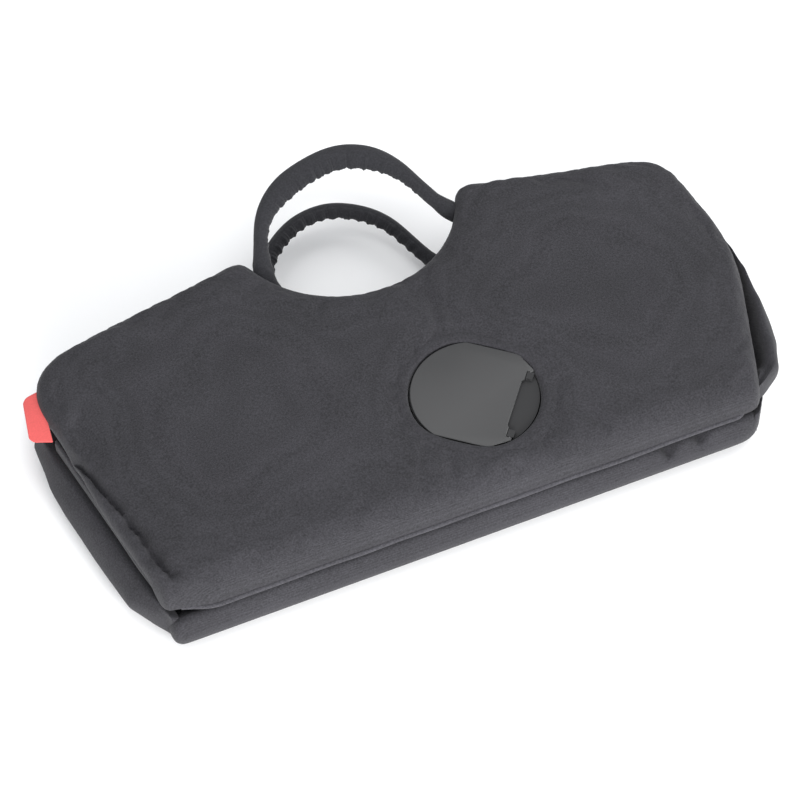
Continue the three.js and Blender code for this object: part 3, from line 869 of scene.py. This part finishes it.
def prism(name, side, outline, low, high, materials):
    """A plate with the given (u, v) outline and rounded edges."""
    count = len(outline)
    verts = [(u, v, low) for u, v in outline] + [(u, v, high) for u, v in outline]
    faces = [tuple(range(count))[::-1], tuple(range(count, 2 * count))]
    faces += [(i, (i + 1) % count, count + (i + 1) % count, count + i) for i in range(count)]
    obj = new_object(name, place(side, verts), faces, materials)
    modifier = obj.modifiers.new("edges", "BEVEL")
    modifier.width = PLATE_BEVEL * MM
    modifier.segments = 4
    modifier.limit_method = "ANGLE"
    modifier.angle_limit = SHARP_ANGLE
    apply_modifiers(obj)
    shade_by_angle(obj)
    return obj


def shade_by_angle(obj):
    """Smooth shading, with the sharp edges left crisp."""
    mesh = obj.data
    smooth(mesh)
    bm = bmesh.new()
    bm.from_mesh(mesh)
    for edge in bm.edges:
        if len(edge.link_faces) == 2 and edge.calc_face_angle(0) > SHARP_ANGLE:
            edge.smooth = False
    bm.to_mesh(mesh)
    bm.free()


def plate_outline():
    """The hinged plate: a round back, straight sides and a chord between two ears."""
    corner_u, ear_u, ear_v, chord_u, notch_v = 38.5, 53.5, 48.5, 47.0, 45.0
    start = math.pi - math.asin(HUB_FLAT / HUB_RADIUS)
    angles = np.linspace(start, 2 * math.pi - start, 72)
    left = [(HUB_RADIUS * math.cos(a), HUB_RADIUS * math.sin(a)) for a in angles]
    right = [(corner_u - 13, -HUB_FLAT + 0.1), (corner_u - 7, -HUB_FLAT + 0.6), (corner_u - 3, -HUB_FLAT + 2),
             (corner_u, -HUB_FLAT + 5), (ear_u, -ear_v), (ear_u, -notch_v), (chord_u, -notch_v),
             (chord_u, -33), (chord_u - 2, -30)]
    return left + right + [(u, -v) for u, v in right[::-1]]


def build_hub(side):
    plate = prism(f"{side}_hub_plate", side, plate_outline(), PLATE_BACK, PLATE_FACE, [PLATE])
    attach(plate, f"{side}_hub_cover")
    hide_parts(f"{side}_hub_cover")
    # Base and backing ring take the darker plastic, painted shade of the recess.
    give(f"{side}_hub_base", DISC_SHADED)
    give(f"{side}_hub_backing_ring", DISC_SHADED)
    for k in (1, 2):
        give(f"{side}_hub_hinge_pin_{k}", STEEL)
    for k in range(4):
        give(f"{side}_hub_screw_{k + 1}", STEEL)


def give(node_name, material):
    """Puts a material on a part of the CAD frame."""
    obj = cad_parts[node_name]
    obj.data.materials.clear()
    obj.data.materials.append(material)


# ---- Side tag ----
def build_tag():
    """A folded woven loop label, blank, sewn into the foot end of the front wall."""
    (sewn_low, sewn_high), (free_low, free_high) = TAG_SEWN, TAG_FREE
    columns, rows = 14, 24
    top, bottom = [], []
    for i in range(columns + 1):
        for k in range(rows + 1):
            s, t = i / columns, k / rows
            out = s + 0.12 * (1 - s)
            squared = 2 * t - 1
            tuck = 0.10 * max(0.0, (s - 0.7) / 0.3) ** 2 * squared * abs(squared) ** 2
            t_soft = t - tuck
            sewn = sewn_low + (sewn_high - sewn_low) * t
            free = free_low + (free_high - free_low) * t_soft
            x, y = sewn * (1 - s) + free * s
            z = TAG_HEIGHT - 4.0 * s ** 1.4 + 1.3 * math.sin(3.2 * t + 0.4) * out
            top.append((x, y, z + TAG_HALF))
            bottom.append((x, y, z - TAG_HALF))
    width = rows + 1
    count = len(top)
    faces = []
    for i in range(columns):
        for k in range(rows):
            a = i * width + k
            faces.append((a, a + 1, a + width + 1, a + width))
            faces.append((count + a, count + a + width, count + a + width + 1, count + a + 1))
    rim = [i * width for i in range(columns + 1)]
    rim += [columns * width + k for k in range(1, rows + 1)]
    rim += [i * width + rows for i in range(columns - 1, -1, -1)]
    rim += range(rows - 1, 0, -1)
    for i, a in enumerate(rim):
        b = rim[(i + 1) % len(rim)]
        faces.append((a, b, count + b, count + a))
    obj = new_object("blank_side_tag", to_row(top + bottom), faces, [TAG])
    subdivide(obj)
    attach(obj, "front_wall")
    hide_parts("side_tag")


# ---- Studio ----
LIGHT_TARGET = (0, 0, 0.03)


def aim(obj, target):
    direction = Vector(target) - obj.location
    obj.rotation_euler = direction.to_track_quat("-Z", "Y").to_euler()


def build_camera():
    azimuth, elevation, distance = math.radians(-23.19), math.radians(54.0), 3062.0
    target = np.array([-20.7, 160.9, 50.0])
    back = np.array([
        math.sin(azimuth) * math.cos(elevation),
        -math.cos(azimuth) * math.cos(elevation),
        math.sin(elevation),
    ])
    data = bpy.data.cameras.new("camera")
    data.lens = 126.0
    data.sensor_width = 36.0
    data.clip_end = 50.0
    camera = bpy.data.objects.new("camera", data)
    bpy.context.scene.collection.objects.link(camera)
    camera.location = to_row(target + back * distance)
    aim(camera, to_row(target))
    bpy.context.scene.camera = camera


def area_light(name, location, size, power):
    data = bpy.data.lights.new(name, "AREA")
    data.shape = "RECTANGLE"
    data.size, data.size_y = size
    data.energy = power
    light = bpy.data.objects.new(name, data)
    bpy.context.scene.collection.objects.link(light)
    light.location = location
    aim(light, LIGHT_TARGET)


def build_studio():
    scene = bpy.context.scene
    scene.view_settings.view_transform = "Standard"
    world = bpy.data.worlds.new("studio")
    world.use_nodes = True
    world.node_tree.nodes["Background"].inputs["Color"].default_value = (0.95, 0.97, 1.0, 1)
    world.node_tree.nodes["Background"].inputs["Strength"].default_value = 0.75
    scene.world = world
    area_light("key", (-0.3, -2.1, 0.8), (1.8, 0.8), 80.0)
    area_light("top", (0.3, 0.4, 2.2), (2.4, 2.0), 22.0)
    area_light("rim", (1.6, 0.6, 1.0), (1.0, 1.0), 10.0)
    half, z = 6.0, -0.001
    verts = [(-half, -half, z), (half, -half, z), (half, half, z), (-half, half, z)]
    material, _ = principled("pale_floor", (0.93, 0.93, 0.93), 0.9)
    mesh = bpy.data.meshes.new("floor")
    mesh.from_pydata(verts, [], [(0, 1, 2, 3)])
    mesh.materials.append(material)
    floor = bpy.data.objects.new("floor", mesh)
    scene.collection.objects.link(floor)


# ---- Everything ----
build_camera()
build_studio()
for wall_side in ("back", "front"):
    build_wall(wall_side)
    build_base(wall_side)
    build_hub(wall_side)
    build_collar(wall_side)
    for end_name, end in (("foot", -1), ("head", 1)):
        build_gusset(end, end_name, wall_side)
    give(f"{wall_side}_wall_board", BOARD)
build_handle("front", HANDLE_Y, 1.0)
build_handle("back", HANDLE_Y - FOLD_OFFSET, 2.0)
build_tag()
build_hem()
build_hinge_strips()
